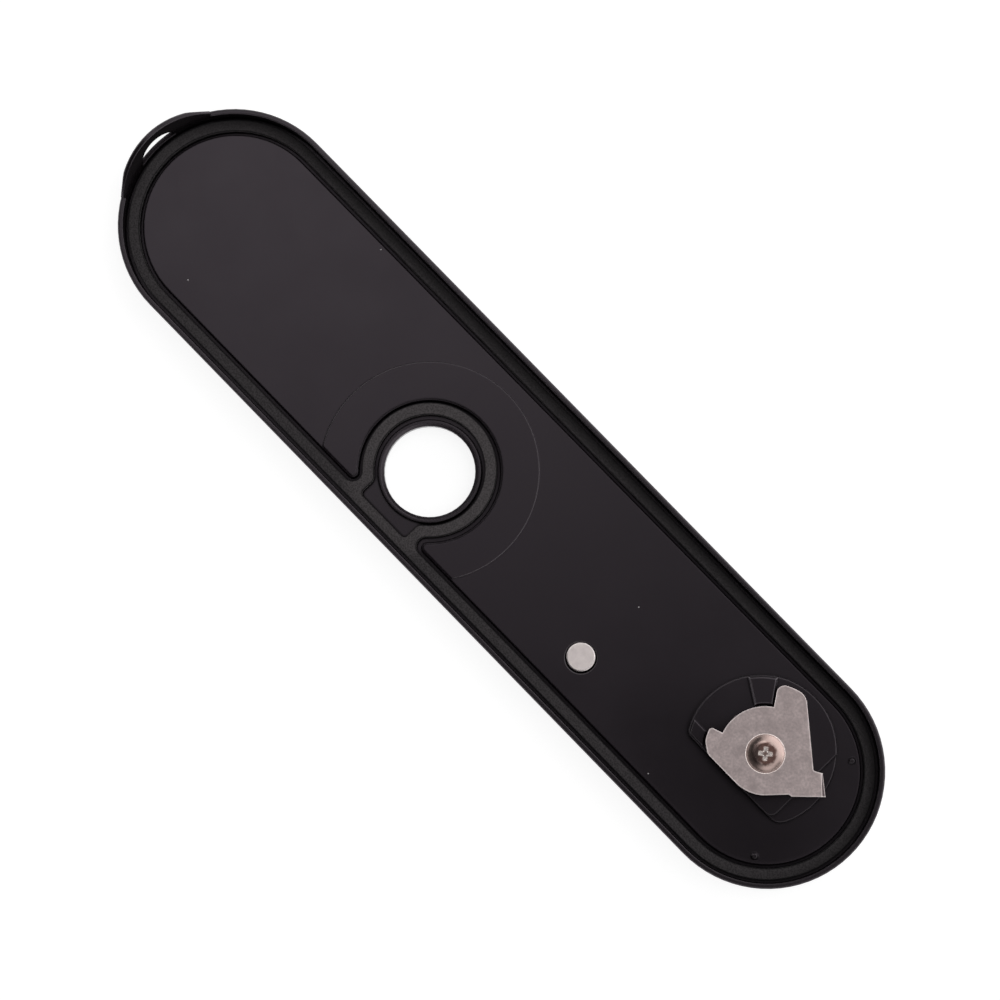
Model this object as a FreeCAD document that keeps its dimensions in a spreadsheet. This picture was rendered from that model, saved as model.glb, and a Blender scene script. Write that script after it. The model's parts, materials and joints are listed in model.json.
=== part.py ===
import FreeCAD, Part
import math
import os

import Sketcher

# Camera base plate: a shallow sealed tray with a slotted hook tongue at one end and a turn lock at the
# other. The datum is the axis of the tripod hole on the outer face. +X runs to the lock end, +Z is the
# inner side that faces the camera body. Lengths are millimetres and angles are degrees.

SIZES = (
    # Tray outline and the place of the tripod hole in it
    ("plate_length", "138.5"),
    ("plate_width", "32.4"),
    ("hole_to_hook_end", "59.95"),
    ("hole_to_side", "11.75"),
    ("centre_x", "=plate_length / 2 - hole_to_hook_end"),
    ("centre_y", "=plate_width / 2 - hole_to_side"),
    ("rim_height", "5.0"),
    ("rim_wall", "0.7"),
    ("bottom_round", "1.5"),
    ("rim_bevel", "0.2"),
    # Raised floor and the seal groove round it
    ("floor_level", "2.4"),
    ("groove_level", "1.4"),
    ("groove_width", "2.55"),
    ("floor_bevel", "0.12"),
    # Tripod hole, its collar and the bay that the seal loops through
    ("hole_radius", "6.35"),
    ("hole_lead", "0.45"),
    ("hole_break", "0.3"),
    ("collar_wall", "0.9"),
    ("collar_height", "1.0"),
    ("collar_bevel", "0.12"),
    ("bay_radius", "9.9"),
    ("bay_round", "0.8"),
    ("disc_radius", "15.35"),
    ("disc_height", "0.1"),
    ("disc_bevel", "0.07"),
    ("disc_gap", "0.15"),
    # Foam seal
    ("seal_gap", "0.5"),
    ("seal_width", "1.55"),
    ("seal_height", "1.4"),
    ("loop_width", "1.65"),
    ("loop_shift_x", "-0.15"),
    ("loop_shift_y", "0.12"),
    ("window_half", "4.4"),
    ("window_round", "0.5"),
    ("mouth_round", "1.2"),
    # Magnet for the closed-plate sensor
    ("magnet_x", "33.2"),
    ("magnet_y", "-2.95"),
    ("magnet_radius", "2.0"),
    ("magnet_height", "1.3"),
    ("magnet_proud", "0.15"),
    ("magnet_bevel", "0.15"),
    ("seat_gap", "0.2"),
    ("seat_shift", "0.07"),
    ("seat_bevel", "0.06"),
    # Locating pips, one on each side of the middle line
    ("pip_to_end", "8.95"),
    ("pip_x", "=plate_length / 2 - pip_to_end"),
    ("pip_y", "9.4"),
    ("pip_radius", "0.5"),
    ("pip_height", "0.35"),
    ("pip_bevel", "0.2"),
    # Hook tongue at the end away from the lock
    ("tongue_half", "8.6"),
    ("tongue_rise", "3.0"),
    ("tongue_lean_angle", "9.1"),
    ("tongue_bevel", "0.15"),
    ("tongue_blend_angle", "36.0"),
    ("slot_radius", "3.2"),
    ("slot_sill", "2.75"),
    # Lock axis, and the lock boss on the inner side
    ("lock_to_end", "18.05"),
    ("lock_off_middle", "1.45"),
    ("lock_x", "=centre_x + plate_length / 2 - lock_to_end"),
    ("lock_y", "=centre_y + lock_off_middle"),
    ("boss_radius", "10.45"),
    ("boss_shift", "0.7"),
    ("lock_flat", "5.7"),
    ("boss_step", "7.03"),
    ("boss_level", "3.4"),
    ("ledge_level", "2.9"),
    ("boss_corner", "1.2"),
    ("ledge_corner", "2.0"),
    ("boss_bevel", "0.15"),
    ("lug_angle", "22.0"),
    ("lug_edge_gap", "0.1"),
    ("lug_height", "1.5"),
    ("lug_gap", "0.25"),
    ("lug_gap_angle", "1.0"),
    ("lug_bevel", "0.25"),
    ("land_side", "3.64"),
    ("land_flat_gap", "0.28"),
    ("land_edge_gap", "0.2"),
    ("land_inner", "8.66"),
    ("land_height", "0.3"),
    ("land_bevel", "0.1"),
    # Lock recess in the outer face
    ("recess_depth", "1.75"),
    ("rotor_gap", "0.2"),
    ("finger_radius", "4.5"),
    ("finger_depth", "0.9"),
    # Lock rotor and its shaft
    ("rotor_radius", "9.2"),
    ("rotor_inset", "0.15"),
    ("web_height", "0.35"),
    ("web_gap", "0.08"),
    ("hub_radius", "5.3"),
    ("shaft_radius", "2.4"),
    ("tang_radius", "1.9"),
    ("tang_flat", "1.45"),
    ("tang_short", "0.05"),
    ("thread_radius", "1.0"),
    ("thread_depth", "3.0"),
    # Bush, sealing ring and spring washer on the shaft
    ("shaft_fit", "0.05"),
    ("bush_wall", "0.85"),
    ("bush_fit", "0.01"),
    ("flange_radius", "4.4"),
    ("flange_height", "0.3"),
    ("ring_section", "0.56"),
    ("ring_bevel", "0.16"),
    ("ring_fit", "0.01"),
    ("gland_width", "0.8"),
    ("gland_level", "2.2"),
    ("spring_space", "0.6"),
    ("spring_inner", "2.6"),
    ("spring_outer", "4.2"),
    ("spring_sheet", "0.22"),
    ("spring_fit", "0.03"),
    # Folding key and its pins
    ("key_gap", "0.3"),
    ("key_edge_gap", "0.3"),
    ("key_outer", "=rotor_radius - key_edge_gap"),
    ("key_bevel", "0.25"),
    ("eye_radius", "0.55"),
    ("eye_step", "0.1"),
    ("key_land_gap", "0.1"),
    ("pin_radius", "0.25"),
    ("pin_fit", "0.03"),
    ("pin_seat_fit", "0.01"),
    ("pin_hold", "1.3"),
    ("pin_short", "0.6"),
    ("key_turn_angle", "90.0"),
    # Locking cam
    ("cam_sheet", "0.7"),
    ("cam_hub", "6.52"),
    ("tang_fit", "0.03"),
    ("horn_radius", "9.8"),
    ("horn_left_angle", "125.0"),
    ("horn_right_angle", "100.4"),
    ("horn_left_round", "1.1"),
    ("horn_right_round", "2.0"),
    ("arm_root_x", "6.27"),
    ("arm_root_y", "3.1"),
    ("arm_root_round", "0.35"),
    ("arm_top_x", "7.31"),
    ("arm_top_y", "3.67"),
    ("arm_tip_x", "9.7"),
    ("arm_tip_y", "1.46"),
    ("arm_angle", "45.0"),
    ("arm_edge", "4.2"),
    ("jog_x", "6.24"),
    ("jog_y", "-1.61"),
    ("belly_angle", "313.0"),
    ("flat_end", "-5.5"),
    ("spur_radius", "8.4"),
    ("spur_start_angle", "199.7"),
    ("spur_end_angle", "214.0"),
    ("spur_tip_round", "0.5"),
    ("spur_heel_round", "1.5"),
    ("cam_bevel", "0.08"),
    ("lip_sheet", "0.6"),
    ("lip_drop", "0.55"),
    ("lip_root", "0.15"),
    ("lip_flare", "0.45"),
    ("lip_set", "0.2"),
    ("lip_round", "0.12"),
    # Cam screw
    ("head_radius", "2.75"),
    ("head_edge", "0.12"),
    ("head_bevel", "0.13"),
    ("head_height", "0.65"),
    ("crown_radius", "1.45"),
    ("shank_length", "2.8"),
    ("thread_fit", "0.02"),
    ("cross_width", "0.42"),
    ("cross_length", "1.76"),
    ("cross_depth", "0.45"),
    ("cross_bevel", "0.06"),
)

document = FreeCAD.newDocument("camera_base_plate")
sheet = document.addObject("Spreadsheet::Sheet", "sizes")
for row, (alias, text) in enumerate(SIZES, start=1):
    sheet.set(f"A{row}", alias)
    sheet.set(f"B{row}", text)
    sheet.setAlias(f"B{row}", alias)
document.recompute()

NEAR = 1e-4
SAME_PLACE = 0.01
QUARTER_TURN = 90
HALF_TURN = 180
FULL_TURN = 360

# Places that several pieces share, as expressions on the sheet
HALF_WIDTH = "sizes.plate_width / 2"
HALF_SPAN = "(sizes.plate_length - sizes.plate_width) / 2"
TONGUE_END = f"sizes.centre_x - {HALF_SPAN}"
FLOOR_RADIUS = f"({HALF_WIDTH} - sizes.rim_wall - sizes.groove_width)"
SEAL_OUTER = f"({HALF_WIDTH} - sizes.rim_wall - sizes.seal_gap)"
SEAL_INNER = f"({SEAL_OUTER} - sizes.seal_width)"
COLLAR_TOP = "sizes.groove_level + sizes.collar_height"
COLLAR_RADIUS = "sizes.hole_radius + sizes.collar_wall"
RECESS_RADIUS = "(sizes.rotor_radius + sizes.rotor_gap)"
BUSH_BORE = "(sizes.shaft_radius + sizes.shaft_fit)"
BUSH_OUTER = f"({BUSH_BORE} + sizes.bush_wall)"
FLANGE_TOP = "(sizes.boss_level + sizes.flange_height)"
CAM_LEVEL = f"({FLANGE_TOP} + sizes.spring_space)"
CAM_TOP = f"({CAM_LEVEL} + sizes.cam_sheet)"
WEB_TOP = "(sizes.recess_depth - sizes.web_gap)"
WEB_LOW = f"({WEB_TOP} - sizes.web_height)"
PIN_LEVEL = "(sizes.rotor_inset + sizes.eye_radius)"
KEY_INNER = "(sizes.hub_radius + sizes.key_gap)"
RING_CENTRE = f"({BUSH_BORE} - sizes.ring_fit - sizes.ring_section / 2)"
GLAND_RADIUS = f"({RING_CENTRE} - sizes.ring_section / 2 - sizes.ring_fit)"
LUG_START = "(sizes.horn_left_angle + sizes.lug_gap_angle)"
BOSS_MIDDLE = ("sizes.lock_x - sizes.boss_shift", "sizes.lock_y")
LOCK_TOP = ("sizes.lock_x", "sizes.lock_y", "sizes.boss_level")


def value(expression):
    return float(sheet.evalExpression(expression))


def polar(radius, angle):
    return (f"({radius}) * cos({angle})", f"({radius}) * sin({angle})")


def new_body(name):
    body = document.addObject("PartDesign::Body", name)
    body.Label = name
    return body


def on_lock_axis(thing, turn=None):
    """Put a piece on the lock axis, turned about it if asked."""
    if turn:
        thing.Placement.Rotation = FreeCAD.Rotation(FreeCAD.Vector(0, 0, 1), value(turn))
    thing.setExpression("Placement.Base.x", "sizes.lock_x")
    thing.setExpression("Placement.Base.y", "sizes.lock_y")


def new_sketch(body, name, place=("0", "0", "0"), role="XY_Plane", turn=None):
    """A sketch on one of the body's planes, moved by place along its own axes and turned if asked."""
    sketch = body.newObject("Sketcher::SketchObject", name)
    plane = next(item for item in body.Origin.OriginFeatures if item.Role == role)
    sketch.AttachmentSupport = (plane, [""])
    sketch.MapMode = "FlatFace"
    if turn:
        sketch.AttachmentOffset.Rotation = FreeCAD.Rotation(FreeCAD.Vector(0, 0, 1), value(turn))
    for axis, expression in zip("xyz", place):
        sketch.setExpression(f"AttachmentOffset.Base.{axis}", expression)
    return sketch


def tie(sketch, kind, items, name, expression):
    index = sketch.addConstraint(Sketcher.Constraint(kind, *items, value(expression)))
    sketch.renameConstraint(index, name)
    sketch.setExpression(f"Constraints.{name}", expression)


def add_circle(sketch, radius, x=None, y=None):
    """A circle about the sketch's origin, or about a named point of it."""
    centre = FreeCAD.Vector(value(x) if x else 0, value(y) if y else 0, 0)
    index = sketch.addGeometry(Part.Circle(centre, FreeCAD.Vector(0, 0, 1), value(radius)), False)
    if x is None and y is None:
        sketch.addConstraint(Sketcher.Constraint("Coincident", index, 3, -1, 1))
    else:
        tie(sketch, "DistanceX", (-1, 1, index, 3), f"circle_x{index}", x)
        tie(sketch, "DistanceY", (-1, 1, index, 3), f"circle_y{index}", y)
    tie(sketch, "Radius", (index,), f"radius{index}", radius)


def add_outline(sketch, corners):
    """A closed outline. A corner is (x, y), or (x, y, turn, centre_x, centre_y) when an arc leads to it.

    A corner at the end of an arc is tied by the one coordinate that changes faster along the arc.
    """
    points = [(value(corner[0]), value(corner[1])) for corner in corners]
    first = sketch.GeometryCount
    ends = []
    for number, corner in enumerate(corners):
        before = FreeCAD.Vector(*points[number - 1], 0)
        after = FreeCAD.Vector(*points[number], 0)
        if len(corner) == 2:
            sketch.addGeometry(Part.LineSegment(before, after), False)
            ends.append((1, 2))
            continue
        turn, centre_x, centre_y = corner[2:]
        centre = FreeCAD.Vector(value(centre_x), value(centre_y), 0)
        left = turn == "left"
        start, stop = (before, after) if left else (after, before)
        circle = Part.Circle(centre, FreeCAD.Vector(0, 0, 1), (after - centre).Length)
        angles = [math.atan2(end.y - centre.y, end.x - centre.x) for end in (start, stop)]
        index = sketch.addGeometry(Part.ArcOfCircle(circle, *angles), False)
        ends.append((1, 2) if left else (2, 1))
        tie(sketch, "DistanceX", (-1, 1, index, 3), f"centre_x{index}", centre_x)
        tie(sketch, "DistanceY", (-1, 1, index, 3), f"centre_y{index}", centre_y)
    count = len(corners)
    for number, corner in enumerate(corners):
        here = first + number
        following = (number + 1) % count
        meeting = (here, ends[number][1], first + following, ends[following][0])
        sketch.addConstraint(Sketcher.Constraint("Coincident", *meeting))
        tied = "xy"
        if len(corner) > 2:
            across = abs(points[number][0] - value(corner[3]))
            along = abs(points[number][1] - value(corner[4]))
            tied = "x" if along > across else "y"
        for axis, expression in zip("xy", corner):
            if axis in tied:
                spot = (-1, 1, here, ends[number][1])
                tie(sketch, f"Distance{axis.upper()}", spot, f"{axis}{here}", expression)


def add_stadium(sketch, half_span, radius):
    """Two half rounds joined by straight sides, about the sketch's origin."""
    add_outline(sketch, (
        (half_span, f"-({radius})"),
        (half_span, radius, "left", half_span, "0"),
        (f"-({half_span})", radius),
        (f"-({half_span})", f"-({radius})", "left", f"-({half_span})", "0"),
    ))


def add_rectangle(sketch, left, low, right, high):
    add_outline(sketch, ((left, low), (right, low), (right, high), (left, high)))


def pad(body, sketch, length, reverse=False):
    feature = body.newObject("PartDesign::Pad", f"{sketch.Name}_pad")
    feature.Profile = sketch
    feature.setExpression("Length", length)
    feature.Reversed = reverse
    document.recompute()
    return feature


def pocket(body, sketch, length=None, reverse=False):
    """A cut that has to take something away, through everything where no length is given."""
    before = body.Shape.Volume
    feature = body.newObject("PartDesign::Pocket", f"{sketch.Name}_pocket")
    feature.Profile = sketch
    if length:
        feature.setExpression("Length", length)
    else:
        feature.Type = "ThroughAll"
    feature.Reversed = reverse
    document.recompute()
    if body.Shape.Volume > before - NEAR:
        raise RuntimeError(f"{feature.Name} cuts nothing")
    return feature


def revolve(body, sketch, angle=None, kind="Revolution"):
    """A profile turned about the sketch's upright axis, the whole way or by an angle to both sides."""
    cuts = kind == "Groove"
    before = body.Shape.Volume if cuts else 0
    feature = body.newObject(f"PartDesign::{kind}", f"{sketch.Name}_turn")
    feature.Profile = sketch
    feature.ReferenceAxis = (sketch, ["V_Axis"])
    if angle:
        feature.Midplane = True
        feature.setExpression("Angle", angle)
    else:
        feature.Angle = FULL_TURN
    document.recompute()
    if cuts and body.Shape.Volume > before - NEAR:
        raise RuntimeError(f"{feature.Name} cuts nothing")
    return feature


def dress(body, kind, name, size, wanted):
    """A Fillet or Chamfer on every edge of the body that the test picks."""
    document.recompute()
    base = body.Tip
    names = [f"Edge{number}" for number, edge in enumerate(base.Shape.Edges, start=1) if wanted(edge)]
    if not names:
        raise RuntimeError(f"{name} finds no edge")
    feature = body.newObject(f"PartDesign::{kind}", name)
    feature.Base = (base, names)
    feature.setExpression("Radius" if kind == "Fillet" else "Size", size)
    document.recompute()
    if not feature.isValid():
        raise RuntimeError(f"{name} did not compute")
    return feature


def at_level(edge, level):
    box = edge.BoundBox
    return abs(box.ZMin - level) < NEAR and abs(box.ZMax - level) < NEAR


def upright_at(edge, x, y):
    """True for an upright straight edge that stands at a point of the body."""
    box = edge.BoundBox
    apart = math.hypot(box.Center.x - x, box.Center.y - y)
    return apart < SAME_PLACE and box.ZLength > SAME_PLACE and max(box.XLength, box.YLength) < NEAR


def round_edge(edge, radius, x=0.0, y=0.0):
    """True for a circle or an arc of one radius about an upright axis."""
    curve = edge.Curve
    if not isinstance(curve, Part.Circle) or abs(curve.Radius - radius) > NEAR:
        return False
    return math.hypot(curve.Center.x - x, curve.Center.y - y) < NEAR


def build_tray(body):
    """The rim, the well inside it and the raised floor with its seal groove."""
    middle = ("sizes.centre_x", "sizes.centre_y")
    outline = new_sketch(body, "tray_outline", (*middle, "0"))
    add_stadium(outline, HALF_SPAN, HALF_WIDTH)
    pad(body, outline, "sizes.rim_height")
    dress(body, "Fillet", "bottom_edge", "sizes.bottom_round", lambda edge: at_level(edge, 0))
    rim_height = value("sizes.rim_height")
    dress(body, "Chamfer", "rim_edge", "sizes.rim_bevel", lambda edge: at_level(edge, rim_height))

    well = new_sketch(body, "well", (*middle, "sizes.rim_height"))
    add_stadium(well, HALF_SPAN, f"{HALF_WIDTH} - sizes.rim_wall")
    pocket(body, well, "sizes.rim_height - sizes.groove_level")

    floor = new_sketch(body, "raised_floor", (*middle, "sizes.groove_level"))
    add_stadium(floor, HALF_SPAN, FLOOR_RADIUS)
    pad(body, floor, "sizes.floor_level - sizes.groove_level")


def build_tripod_hole(body):
    """The bay that the seal loops through, then the collar and the hole itself."""
    bay = new_sketch(body, "seal_bay", ("0", "0", "sizes.floor_level"))
    add_circle(bay, "sizes.bay_radius")
    pocket(body, bay, "sizes.floor_level - sizes.groove_level")
    edge_y = value(f"sizes.centre_y - {FLOOR_RADIUS}")
    edge_x = math.sqrt(value("sizes.bay_radius") ** 2 - edge_y ** 2)
    corners = (edge_x, -edge_x)
    dress(body, "Fillet", "bay_corners", "sizes.bay_round",
          lambda edge: any(upright_at(edge, x, edge_y) for x in corners))
    floor_level = value("sizes.floor_level")
    dress(body, "Chamfer", "floor_edge", "sizes.floor_bevel", lambda edge: at_level(edge, floor_level))

    collar = new_sketch(body, "collar", ("0", "0", "sizes.groove_level"))
    add_circle(collar, COLLAR_RADIUS)
    pad(body, collar, "sizes.collar_height")
    hole = new_sketch(body, "tripod_hole", ("0", "0", COLLAR_TOP))
    add_circle(hole, "sizes.hole_radius")
    pocket(body, hole)
    hole_radius = value("sizes.hole_radius")
    collar_top = value(COLLAR_TOP)
    dress(body, "Chamfer", "hole_lead_in", "sizes.hole_lead",
          lambda edge: round_edge(edge, hole_radius) and at_level(edge, collar_top))
    collar_radius = value(COLLAR_RADIUS)
    dress(body, "Chamfer", "collar_edge", "sizes.collar_bevel",
          lambda edge: round_edge(edge, collar_radius) and at_level(edge, collar_top))
    dress(body, "Chamfer", "hole_lower_edge", "sizes.hole_break",
          lambda edge: round_edge(edge, hole_radius) and at_level(edge, 0))


def build_floor_details(body):
    """The low disc round the bay, the blind seat of the magnet and the two locating pips."""
    inset = "(sizes.floor_bevel + sizes.disc_gap)"
    side = f"(sizes.centre_y - {FLOOR_RADIUS})"
    low = f"({side} + {inset})"
    disc_x = f"sqrt(sizes.disc_radius ^ 2 - {low} ^ 2)"
    turn_reach = "(sizes.bay_radius + sizes.bay_round)"
    turn_y = f"({side} + sizes.bay_round)"
    turn_x = f"sqrt({turn_reach} ^ 2 - {turn_y} ^ 2)"
    share = f"(sizes.bay_radius + {inset}) / {turn_reach}"
    bay_x = f"{turn_x} * {share}"
    bay_y = f"{turn_y} * {share}"
    disc = new_sketch(body, "floor_disc", ("0", "0", "sizes.floor_level"))
    add_outline(disc, (
        (f"-{disc_x}", low, "left", "0", "0"),
        (f"-{turn_x}", low),
        (f"-{bay_x}", bay_y, "left", f"-{turn_x}", turn_y),
        (bay_x, bay_y, "right", "0", "0"),
        (turn_x, low, "left", turn_x, turn_y),
        (disc_x, low),
    ))
    pad(body, disc, "sizes.disc_height")
    disc_top = value("sizes.floor_level + sizes.disc_height")
    dress(body, "Chamfer", "disc_edge", "sizes.disc_bevel", lambda edge: at_level(edge, disc_top))

    seat_radius = "sizes.magnet_radius + sizes.seat_gap"
    seat_place = ("sizes.magnet_x + sizes.seat_shift", "sizes.magnet_y - sizes.seat_shift")
    seat = new_sketch(body, "magnet_seat", (*seat_place, "sizes.floor_level"))
    add_circle(seat, seat_radius)
    pocket(body, seat, "sizes.magnet_height - sizes.magnet_proud")
    seat_ring = [value(item) for item in (seat_radius, *seat_place)]
    floor_level = value("sizes.floor_level")
    dress(body, "Chamfer", "seat_edge", "sizes.seat_bevel",
          lambda edge: at_level(edge, floor_level) and round_edge(edge, *seat_ring))

    pips = new_sketch(body, "pips", ("sizes.centre_x", "sizes.centre_y", "sizes.floor_level"))
    for sign in ("", "-"):
        add_circle(pips, "sizes.pip_radius", "sizes.pip_x", f"{sign}sizes.pip_y")
    pad(body, pips, "sizes.pip_height")
    pip_top = value("sizes.floor_level + sizes.pip_height")
    dress(body, "Chamfer", "pip_tops", "sizes.pip_bevel", lambda edge: at_level(edge, pip_top))


def build_boss(body):
    """The flat-sided boss over the lock recess, with a lower ledge at its outer end."""
    flat = "-sizes.lock_flat"
    flat_reach = "sqrt(sizes.boss_radius ^ 2 - sizes.lock_flat ^ 2)"
    flat_y = value("sizes.lock_y - sizes.lock_flat")
    ledge = new_sketch(body, "boss_ledge", (*BOSS_MIDDLE, "sizes.floor_level"))
    add_outline(ledge, (
        ("0", flat),
        (flat_reach, flat),
        ("0", "sizes.boss_radius", "left", "0", "0"),
    ))
    pad(body, ledge, "sizes.ledge_level - sizes.floor_level")
    ledge_x = value(f"{BOSS_MIDDLE[0]} + {flat_reach}")
    dress(body, "Fillet", "ledge_corner_round", "sizes.ledge_corner",
          lambda edge: upright_at(edge, ledge_x, flat_y))
    ledge_level = value("sizes.ledge_level")
    dress(body, "Chamfer", "ledge_edge", "sizes.boss_bevel", lambda edge: at_level(edge, ledge_level))

    step = "(sizes.boss_step + sizes.boss_shift)"
    turn_x = f"({step} - sizes.boss_corner)"
    turn_y = "(sizes.boss_corner - sizes.lock_flat)"
    top = new_sketch(body, "boss_top", (*BOSS_MIDDLE, "sizes.floor_level"))
    add_outline(top, (
        (step, f"sqrt(sizes.boss_radius ^ 2 - {step} ^ 2)"),
        (f"-{flat_reach}", flat, "left", "0", "0"),
        (turn_x, flat),
        (step, turn_y, "left", turn_x, turn_y),
    ))
    pad(body, top, "sizes.boss_level - sizes.floor_level")
    corner_x = value(f"{BOSS_MIDDLE[0]} - {flat_reach}")
    dress(body, "Fillet", "boss_corner_round", "sizes.boss_corner",
          lambda edge: upright_at(edge, corner_x, flat_y))
    boss_level = value("sizes.boss_level")
    dress(body, "Chamfer", "boss_edge", "sizes.boss_bevel", lambda edge: at_level(edge, boss_level))


def build_boss_details(body):
    """The stop lug beside the horn and the small land beyond the spur."""
    lug_inner = "(sizes.cam_hub + sizes.lug_gap)"
    lug_radius = "(sizes.boss_radius - sizes.boss_bevel - sizes.lug_edge_gap)"
    lug_end = f"({LUG_START} + sizes.lug_angle)"
    boss_shift = "-sizes.boss_shift"

    def on_boss_edge(angle):
        return polar(f"sqrt({lug_radius} ^ 2 - (sizes.boss_shift * sin({angle})) ^ 2)"
                     f" - sizes.boss_shift * cos({angle})", angle)

    lug = new_sketch(body, "stop_lug", LOCK_TOP)
    add_outline(lug, (
        on_boss_edge(LUG_START),
        (*on_boss_edge(lug_end), "left", boss_shift, "0"),
        polar(lug_inner, lug_end),
        (*polar(lug_inner, LUG_START), "right", "0", "0"),
    ))
    pad(body, lug, "sizes.lug_height")
    lug_top = value("sizes.boss_level + sizes.lug_height")
    dress(body, "Chamfer", "lug_edges", "sizes.lug_bevel", lambda edge: at_level(edge, lug_top))

    land_radius = "(sizes.boss_radius - sizes.boss_bevel - sizes.land_edge_gap)"
    sides = ("sizes.land_side", "(sizes.lock_flat - sizes.land_flat_gap)")
    outer = [f"-(sizes.boss_shift + sqrt({land_radius} ^ 2 - {side} ^ 2))" for side in sides]
    inner = [f"-sqrt(sizes.land_inner ^ 2 - {side} ^ 2)" for side in sides]
    land = new_sketch(body, "spur_land", LOCK_TOP)
    add_outline(land, (
        (outer[0], f"-{sides[0]}", "right", boss_shift, "0"),
        (inner[0], f"-{sides[0]}"),
        (inner[1], f"-{sides[1]}", "left", "0", "0"),
        (outer[1], f"-{sides[1]}"),
    ))
    pad(body, land, "sizes.land_height")
    land_top = value("sizes.boss_level + sizes.land_height")
    dress(body, "Chamfer", "land_edges", "sizes.land_bevel", lambda edge: at_level(edge, land_top))


def build_lock_recess(body):
    """The round recess for the rotor with its finger scoop, and the bore for the bush."""
    recess = new_sketch(body, "lock_recess", ("sizes.lock_x", "sizes.lock_y", "0"))
    add_circle(recess, RECESS_RADIUS)
    pocket(body, recess, "sizes.recess_depth", reverse=True)
    scoop = new_sketch(body, "finger_scoop", (f"sizes.lock_x - {RECESS_RADIUS}", "sizes.lock_y", "0"))
    add_circle(scoop, "sizes.finger_radius")
    pocket(body, scoop, "sizes.finger_depth", reverse=True)
    bore = new_sketch(body, "bush_bore", LOCK_TOP)
    add_circle(bore, f"{BUSH_OUTER} + sizes.bush_fit")
    pocket(body, bore)


def build_tongue(body):
    """The end wall leans out above the slot's sill and rises into an arched tongue."""
    half = "sizes.tongue_half"
    sill = "sizes.slot_sill"
    top = "(sizes.rim_height + sizes.tongue_rise)"
    lean = f"({top} - {sill}) * tan(sizes.tongue_lean_angle)"
    inner = f"({HALF_WIDTH} - sizes.rim_wall)"
    spread = f"2 * asin({half} / ({HALF_WIDTH}))"
    end_axis = (TONGUE_END, "0", "-sizes.centre_y")
    wall = new_sketch(body, "tongue_wall", end_axis, "XZ_Plane")
    add_outline(wall, (
        (f"-{HALF_WIDTH}", sill),
        (f"-{inner}", sill),
        (f"-({inner} + {lean})", top),
        (f"-({HALF_WIDTH} + {lean})", top),
    ))
    revolve(body, wall, spread)
    inside = new_sketch(body, "tongue_inside", end_axis, "XZ_Plane")
    add_outline(inside, (
        (f"-{inner}", sill),
        (f"-{SEAL_OUTER}", sill),
        (f"-{SEAL_OUTER}", top),
        (f"-({inner} + {lean})", top),
    ))
    revolve(body, inside, spread, "Groove")

    rise = "sizes.tongue_rise"
    arch_radius = f"(({half} ^ 2 + {rise} ^ 2) / (2 * {rise}))"
    arch_drop = f"({rise} - {arch_radius})"
    arch = new_sketch(body, "tongue_arch", ("sizes.centre_y", "sizes.rim_height", TONGUE_END), "YZ_Plane")
    add_outline(arch, (
        (f"-{HALF_WIDTH}", "0"),
        (f"-{half}", "0"),
        (half, "0", "right", "0", arch_drop),
        (HALF_WIDTH, "0"),
        (HALF_WIDTH, f"2 * {rise}"),
        (f"-{HALF_WIDTH}", f"2 * {rise}"),
    ))
    pocket(body, arch)
    farthest = value(f"{TONGUE_END} - ({HALF_WIDTH} + {lean})")
    dress(body, "Chamfer", "tongue_edge", "sizes.tongue_bevel",
          lambda edge: abs(edge.BoundBox.XMin - farthest) < SAME_PLACE)

    for name, side, low, high in (("left", "+", f"-{half}", "0"), ("right", "-", "0", half)):
        blend = new_sketch(body, f"tongue_blend_{name}", (TONGUE_END, "sizes.centre_y", top),
                           turn=f"{HALF_TURN} {side} sizes.tongue_blend_angle")
        add_rectangle(blend, HALF_WIDTH, low, f"{HALF_WIDTH} + 2 * {lean}", high)
        pocket(body, blend, f"{top} - {sill}")

    slot = new_sketch(body, "hook_slot", ("sizes.centre_y", sill, TONGUE_END), "YZ_Plane")
    add_outline(slot, (
        ("-sizes.slot_radius", "0", "left", "0", "0"),
        ("sizes.slot_radius", "0"),
    ))
    pocket(body, slot)


def make_base_shell():
    body = new_body("base_shell")
    build_tray(body)
    build_tripod_hole(body)
    build_floor_details(body)
    build_boss(body)
    build_boss_details(body)
    build_lock_recess(body)
    build_tongue(body)
    return body


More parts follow.
